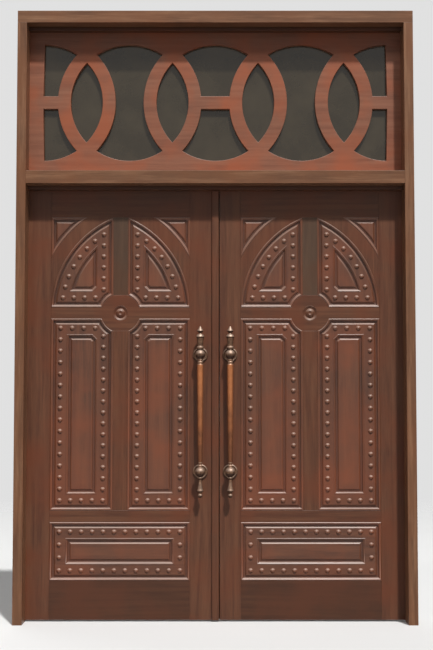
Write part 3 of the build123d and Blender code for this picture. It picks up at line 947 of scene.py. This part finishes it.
def crossing(back_off):
    """Radii of a ring's two edges, and the angles where the edges of neighbouring rings cross."""
    inner = ring_radius + back_off
    outer = ring_outer - back_off
    dx = (ring_pitch ** 2 + inner ** 2 - outer ** 2) / (2 * ring_pitch)
    tip = math.acos(dx / inner)
    side = math.asin(inner * math.sin(tip) / outer)
    return inner, outer, tip, side


def waist(x, back_off):
    """Hole inside one ring at x, between the bands of its two neighbours."""
    inner, outer, tip, side = crossing(back_off)
    top = arc((x, ring_z), inner, tip, math.pi - tip, FRET_STEPS)
    left = arc((x - ring_pitch, ring_z), outer, side, -side, FRET_STEPS)
    low = arc((x, ring_z), inner, math.pi + tip, 2 * math.pi - tip, FRET_STEPS)
    right = arc((x + ring_pitch, ring_z), outer, math.pi + side, math.pi - side, FRET_STEPS)
    return top[:-1] + left[:-1] + low[:-1] + right[:-1]


def half_waist(x, back_off, up):
    """Upper or lower half of a hole that a tie bar crosses."""
    inner, outer, tip, side = crossing(back_off)
    bar = math.asin((TIE_HEIGHT / 2 - back_off) / outer)
    top = arc((0, 0), inner, tip, math.pi - tip, FRET_STEPS)
    left = arc((-ring_pitch, 0), outer, side, bar, FRET_STEPS)
    right = arc((ring_pitch, 0), outer, math.pi - bar, math.pi - side, FRET_STEPS)
    return [(x + a, ring_z + up * b) for a, b in top[:-1] + left + right[:-1]]


def end_quarter(back_off, across, up):
    """Quarter hole beside the stile of the board, inside the last ring."""
    inner, outer, tip, side = crossing(back_off)
    bar = math.asin((TIE_HEIGHT / 2 - back_off) / outer)
    edge = math.acos(-back_off / inner)
    top = arc((0, 0), inner, math.pi - tip, edge, FRET_STEPS)
    left = arc((-ring_pitch, 0), outer, bar, side, FRET_STEPS)
    corner = [(back_off, TIE_HEIGHT / 2 - back_off)]
    return [(across * (window_half + a), ring_z + up * b) for a, b in top + corner + left[:-1]]


def fret_edge(back_off):
    """Outline of the whole board."""
    x = fret_high.x - back_off
    low = fret_low.z + back_off
    high = fret_high.z - back_off
    return [(x, high), (x, low), (-x, low), (-x, high)]


fret_holes = []
for index in range(RING_COUNT - 1):
    fret_holes.append(lambda b, x=(index - (RING_COUNT - 2) / 2) * ring_pitch: lens(x, b))
for x in (-ring_pitch, ring_pitch):
    fret_holes.append(lambda b, x=x: waist(x, b))
for up in (-1, 1):
    fret_holes.append(lambda b, up=up: half_waist(0.0, b, up))
    for across in (-1, 1):
        fret_holes.append(lambda b, across=across, up=up: end_quarter(b, across, up))
piece(
    "fretwork_rings", plate(fret_edge, fret_holes, fret_low.y, fret_high.y, FRET_EASE),
    MATERIALS["fret_board"], "frame", ["fretwork"],
)


# Pull handles

BALL_RADIUS = 23.5 * MM
BALL_STEPS = 16
BAR_END_RADIUS = 11 * MM
FINIAL_NECK = 14 * MM
DROP_NECK = 11.6 * MM
ROSE_THICKNESS = 8 * MM
POST_RADIUS = 11 * MM
TURNED_EASE = 2.0 * MM
FITTING_TIP = 2 * MM

# Finial and drop, without their tips: radius and distance from the middle of the ball
FINIAL_SECTION = in_mm(
    (12.6, 21), (12.6, 23), (16.6, 25.5), (17.6, 31), (16.6, 36.5), (13.4, 39), (13, 43),
    (14, 54), (15.6, 68), (17.4, 80), (20, 82.5), (20, 86), (15.2, 95), (8.5, 97.5),
    (7.2, 100), (7.2, 104), (10.5, 106.5), (15, 112), (15, 114.5), (10.4, 121.5), (5.6, 129.5),
)
DROP_SECTION = in_mm(
    (10, 22), (10, 23.5), (12.2, 25.5), (12.6, 29), (12, 32), (8.6, 34), (8, 37),
    (8.4, 48), (10.4, 64), (13, 80), (15.5, 88), (15.5, 91), (13.6, 93.5), (8, 96),
    (7.8, 105.5), (10.2, 108), (11, 112), (9.8, 117), (5.8, 120.8),
)

# Grip: radius and distance from its end of the beads at its foot and at its head
GRIP_FOOT = in_mm(
    (11, 0), (9, 2.5), (11.2, 5), (11.2, 9.5), (7.8, 13), (7.6, 17), (9.8, 20), (9.8, 24), (9, 27),
)
GRIP_HEAD = in_mm(
    (13.4, 25), (13.2, 23), (14.6, 19), (14.2, 14), (10.6, 11), (10.8, 8.5), (12.8, 5.5), (12.6, 3), (11, 0),
)
BAR_START = 30 * MM
BAR_END = 29 * MM
BAR_FOOT_RADIUS = 10.5 * MM
BAR_SWELL = 4.8 * MM
BAR_SWELL_POWER = 0.7
BAR_STEPS = 6

top_low, top_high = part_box("left_handle_top")
bottom_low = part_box("left_handle_bottom")[0]
ball_seat = math.sqrt(BALL_RADIUS ** 2 - BAR_END_RADIUS ** 2)
top_ball_z = bar_high.z + ball_seat
bottom_ball_z = bar_low.z - ball_seat
handle_x = (bar_low.x + bar_high.x) / 2
handle_y = (bar_low.y + bar_high.y) / 2
rose_radius = (top_high.x - top_low.x) / 2
standoff = top_high.y - handle_y


def ball_profile(start_radius, end_radius):
    """Points up a ball from one flat to another."""
    start = -math.acos(start_radius / BALL_RADIUS)
    end = math.acos(end_radius / BALL_RADIUS)
    return arc((0, 0), BALL_RADIUS, start, end, BALL_STEPS)


def finial(length):
    """Ball, collar, flared cup with its rim, and bud."""
    section = FINIAL_SECTION + [(FITTING_TIP, length)]
    return turned(ball_profile(BAR_END_RADIUS, FINIAL_NECK) + eased(section, EASE))


def drop(length):
    """Ball, collar, flared drop and small end ball, upwards from the ball."""
    section = DROP_SECTION + [(FITTING_TIP, length)]
    return turned(ball_profile(BAR_END_RADIUS, DROP_NECK) + eased(section, TURNED_EASE))


def rose_and_post():
    """Round rose on the leaf and the post that carries a ball, along Y from the ball's centre."""
    face = standoff - ROSE_THICKNESS
    section = [
        (POST_RADIUS, 0.0),
        (POST_RADIUS, face - 6 * MM),
        (POST_RADIUS + 6 * MM, face),
        (rose_radius - 9 * MM, face + 1 * MM),
        (rose_radius - 6 * MM, face - 1.5 * MM),
        (rose_radius - 2 * MM, face),
        (rose_radius, face + 3 * MM),
        (rose_radius, standoff),
    ]
    return turned(eased(section, TURNED_EASE)).mapped(lambda x, y, z: (x, z, -y))


def grip(length):
    """Long bar that swells towards its head, with a pair of beads next to each ball."""
    half = length / 2
    section = [(radius, height - half) for radius, height in GRIP_FOOT]
    start = BAR_START - half
    end = half - BAR_END
    for step in range(BAR_STEPS + 1):
        share = step / BAR_STEPS
        radius = BAR_FOOT_RADIUS + BAR_SWELL * share ** BAR_SWELL_POWER
        section.append((radius, start + (end - start) * share))
    section += [(radius, half - height) for radius, height in GRIP_HEAD]
    return turned(eased(section, TURNED_EASE))


def handle_place(shell, z, side):
    """Shell moved from its own axis to the handle of a leaf."""
    placed = shell.mapped(lambda a, b, c: (handle_x + a, handle_y + b, z + c))
    return placed if side == "left_" else flip(placed)


for side in SIDES:
    body = side + "leaf"
    upper = finial(top_high.z - top_ball_z).add(rose_and_post())
    lower = drop(bottom_ball_z - bottom_low.z).mapped(lambda x, y, z: (x, y, -z)).add(rose_and_post())
    brass = MATERIALS["brass"]
    piece(
        side + "finial_fitting", handle_place(upper, top_ball_z, side),
        brass, body, [side + "handle_top"],
    )
    piece(
        side + "drop_fitting", handle_place(lower, bottom_ball_z, side),
        brass, body, [side + "handle_bottom"],
    )
    piece(
        side + "grip_bar", handle_place(grip(bar_high.z - bar_low.z), bar_middle, side),
        MATERIALS["bronze"], body, [side + "handle_bar"],
    )


# Lift-off hinges

HINGE_PLATE = 2.5 * MM
HINGE_HEIGHT = 126 * MM
HINGE_COUNT = 3
KNUCKLE_GAP = 0.4 * MM
KNUCKLE_BORE = 4.3 * MM
KNUCKLE_RIM = 0.8 * MM
KNUCKLE_SEGMENTS = 32
SCREW_RADIUS = 4.2 * MM
SCREW_RISE = 0.5 * MM
SCREW_SLOT = 0.9 * MM
SCREW_CROWN = 0.8
SCREW_STEPS = 14
SCREW_SHIFTS = in_mm((-48, -9), (-17, 6), (17, -9), (48, 6))
pin_low, pin_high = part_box("left_hinge_pins")
hinge_x = (pin_low.x + pin_high.x) / 2
hinge_y = (pin_low.y + pin_high.y) / 2


def slab(x_ends, y_ends, z_ends):
    """Rectangular block between its ends."""
    near, far = y_ends
    corners = [(x_ends[0], near), (x_ends[1], near), (x_ends[1], far), (x_ends[0], far)]
    return stacked([([(x, y, z) for x, y in corners], 0.0) for z in z_ends])


def knuckle(radius, low, high):
    """Bored barrel with eased rims on the left hinge axis."""
    face = radius - KNUCKLE_RIM
    section = [(KNUCKLE_BORE, low), (face, low), (radius, low + KNUCKLE_RIM)]
    section += [(radius, high - KNUCKLE_RIM), (face, high), (KNUCKLE_BORE, high)]
    turns = [2 * math.pi * index / KNUCKLE_SEGMENTS for index in range(KNUCKLE_SEGMENTS)]
    loops = []
    for reach, z in section:
        ring = [(hinge_x + reach * math.cos(a), hinge_y + reach * math.sin(a), z) for a in turns]
        loops.append((ring, 0.0))
    return stacked(loops, closed=True)


def screw(x, rise, y, z):
    """Slotted screw head on a plate, as its two halves."""
    shell = Shell()
    for turn in (1, -1):
        half = arc((0, 0), SCREW_RADIUS, 0, math.pi, SCREW_STEPS)
        edge = [(y + a, z + turn * (b + SCREW_SLOT / 2)) for a, b in half]
        crown = [(y + SCREW_CROWN * a, z + turn * (SCREW_CROWN * b + SCREW_SLOT / 2)) for a, b in half]
        foot = [(x, a, b) for a, b in edge]
        top = [(x + rise, a, b) for a, b in crown]
        shell.add(stacked([(foot, 0.0), (top, 0.0)]))
    return shell


def hinge_wings(node, plate_ends, face_x, rise, half_side):
    """All plates of one side of the left hinges, with their knuckles and screws."""
    low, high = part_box(node)
    radius = high.y - hinge_y
    first = low.z + HINGE_HEIGHT / 2
    step = (high.z - low.z - HINGE_HEIGHT) / (HINGE_COUNT - 1)
    shell = Shell()
    for index in range(HINGE_COUNT):
        z = first + step * index
        half = HINGE_HEIGHT / 2
        shell.add(slab(plate_ends, (low.y, back_y), (z - half, z + half)))
        barrel = sorted((z + half_side * KNUCKLE_GAP / 2, z + half_side * half))
        shell.add(slab(plate_ends, (back_y, hinge_y - KNUCKLE_BORE), barrel))
        shell.add(knuckle(radius, *barrel))
        middle_y = (low.y + back_y) / 2
        for z_shift, y_shift in SCREW_SHIFTS:
            shell.add(screw(face_x, rise, middle_y + y_shift, z + z_shift))
    return shell


frame_plate_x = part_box("left_frame_hinge_plates")[0].x
leaf_plate_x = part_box("left_hinge_plates")[1].x
frame_ends = (frame_plate_x, frame_plate_x + HINGE_PLATE)
leaf_ends = (leaf_plate_x - HINGE_PLATE, leaf_plate_x)
frame_wings = hinge_wings("left_frame_hinge_plates", frame_ends, frame_ends[1], SCREW_RISE, -1)
leaf_wings = hinge_wings("left_hinge_plates", leaf_ends, leaf_ends[0], -SCREW_RISE, 1)
for side in SIDES:
    for shell, body, word in ((frame_wings, "frame", "frame_hinge_"), (leaf_wings, side + "leaf", "hinge_")):
        placed = shell if side == "left_" else flip(shell)
        name = side + word
        piece(name + "wings", placed, MATERIALS["steel"], body, [name + "plates"])


# Brush seal in the meeting line, on the left leaf

SEAL_REACH = 3.45 * MM
SEAL_BACKING = 1.0 * MM
SEAL_SETBACK = 5 * MM
SEAL_DEPTH = 5 * MM
TUFT_PITCH = 4 * MM
TUFT_TIP = 3.7 * MM
TUFT_TAPER = 0.8 * MM
TUFT_LEAN = 0.3 * MM
TUFT_TURN = 2.4

stile_low, stile_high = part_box("left_meeting_stile")
seal_near = back_y - SEAL_SETBACK - SEAL_DEPTH
seal_far = back_y - SEAL_SETBACK
seal_x = stile_high.x
tuft_x = seal_x + SEAL_BACKING
seal = slab((seal_x, tuft_x), (seal_near, seal_far), (stile_low.z, stile_high.z))
tuft_ends = ((tuft_x, TUFT_PITCH / 2, 0.0), (seal_x + SEAL_REACH, TUFT_TIP / 2, TUFT_TAPER))
tuft_count = int((stile_high.z - stile_low.z) / TUFT_PITCH)
for index in range(tuft_count):
    z = stile_low.z + TUFT_PITCH * (index + 0.5)
    lean = TUFT_LEAN * math.sin(TUFT_TURN * index)
    loops = []
    for x, half, taper in tuft_ends:
        near = seal_near + taper + lean
        far = seal_far - taper + lean
        ring = [(x, near, z - half), (x, far, z - half), (x, far, z + half), (x, near, z + half)]
        loops.append((ring, 0.0))
    seal.add(stacked(loops))
piece("meeting_brush_seal", seal, MATERIALS["pile"], "left_leaf", [])


# Floor

FLOOR_REACH = 9.0
FLOOR_FADE = 3.0
FLOOR_SEGMENTS = 64
FLOOR_TONES = ((0.80, 0.80, 0.79, 1.0), (0.84, 0.84, 0.83, 1.0))
FLOOR_CLOUD_SCALE = 0.8
FLOOR_ROUGHNESS = 0.9
FLOOR_BOUNCE = (0.26, 0.25, 0.24, 1.0)


def seen_share(tree):
    """1 for rays that show a surface to the camera, straight, mirrored or through glass, and 0 for others."""
    path = tree.nodes.new("ShaderNodeLightPath").outputs
    seen = computed(tree, "MAXIMUM", path["Is Camera Ray"], path["Is Glossy Ray"])
    return computed(tree, "MAXIMUM", seen, path["Is Transmission Ray"])


def pale_floor():
    """Pale matt floor with a faint unevenness, which fades into the pale background."""
    material, tree, shader = new_material("pale_floor")
    point = own_point(tree)
    colour = mixed(tree, noise(tree, point, FLOOR_CLOUD_SCALE, Detail=3.0), *FLOOR_TONES)
    colour = mixed(tree, seen_share(tree), FLOOR_BOUNCE, colour)
    tree.links.new(colour, shader.inputs["Base Color"])
    distance = shader_node(tree, "ShaderNodeVectorMath", {"operation": "LENGTH"}, i0=point).outputs[1]
    tree.links.new(ramp(tree, distance, FLOOR_REACH, FLOOR_FADE), shader.inputs["Alpha"])
    shader.inputs["Roughness"].default_value = FLOOR_ROUGHNESS
    return material


floor_mesh = bpy.data.meshes.new("floor")
floor_edge = arc((0, 0), FLOOR_REACH, 0, 2 * math.pi, FLOOR_SEGMENTS)[:-1]
floor_mesh.from_pydata([(x, y, 0.0) for x, y in floor_edge], [], [range(len(floor_edge))])
floor_mesh.materials.append(pale_floor())
floor = bpy.data.objects.new("floor", floor_mesh)
bpy.context.scene.collection.objects.link(floor)


# Light; the lamps' places are measured from the middle of the door

DOOR_MIDDLE = Vector((0.0, 0.0, 1.45))
KEY_PLACE = Vector((1.25, -3.9, 5.7))
KEY_STRENGTH = 3.0
KEY_ANGLE = math.radians(3)
STRIP_PLACE = Vector((0.0, -3.9, 5.7))
STRIP_POWER = 110.0
STRIP_LENGTH = 7.0
STRIP_WIDTH = 0.8
REAR_PLACE = Vector((-2.5, 5.0, 1.6))
REAR_STRENGTH = 1.1
REAR_ANGLE = math.radians(70)
WORLD_LIGHT = 0.1
WORLD_SEEN = 0.75


def lamp(name, kind, place, energy):
    """Light that faces the middle of the door."""
    data = bpy.data.lights.new(name, kind)
    data.energy = energy
    made = bpy.data.objects.new(name, data)
    made.location = DOOR_MIDDLE + place
    made.rotation_euler = (-place).to_track_quat("-Z", "Y").to_euler()
    bpy.context.scene.collection.objects.link(made)
    return data


key = lamp("key", "SUN", KEY_PLACE, KEY_STRENGTH)
key.angle = KEY_ANGLE
strip = lamp("strip", "AREA", STRIP_PLACE, STRIP_POWER)
strip.shape = "RECTANGLE"
strip.size = STRIP_LENGTH
strip.size_y = STRIP_WIDTH
rear = lamp("rear", "SUN", REAR_PLACE, REAR_STRENGTH)
rear.angle = REAR_ANGLE

world = bpy.data.worlds.new("studio")
bpy.context.scene.world = world
world.use_nodes = True
tree = world.node_tree
tree.nodes.clear()
strength = spread(tree, seen_share(tree), WORLD_LIGHT, WORLD_SEEN)
background = shader_node(tree, "ShaderNodeBackground", Color=(1.0, 1.0, 1.0, 1.0), Strength=strength)
output = tree.nodes.new("ShaderNodeOutputWorld")
tree.links.new(background.outputs[0], output.inputs["Surface"])


# Camera

CAMERA_LENS = 73.8
CAMERA_SENSOR = 36.0
CAMERA_X = 0.006
CAMERA_BACK = 6.45
CAMERA_Z = 1.01
CAMERA_TILT = math.radians(93.65)

camera_data = bpy.data.cameras.new("camera")
camera_data.lens = CAMERA_LENS
camera_data.sensor_width = CAMERA_SENSOR
camera = bpy.data.objects.new("camera", camera_data)
camera.location = (CAMERA_X, face_y - CAMERA_BACK, CAMERA_Z)
camera.rotation_euler = (CAMERA_TILT, 0.0, 0.0)
bpy.context.scene.collection.objects.link(camera)
bpy.context.scene.camera = camera
bpy.context.scene.view_settings.view_transform = "Standard"
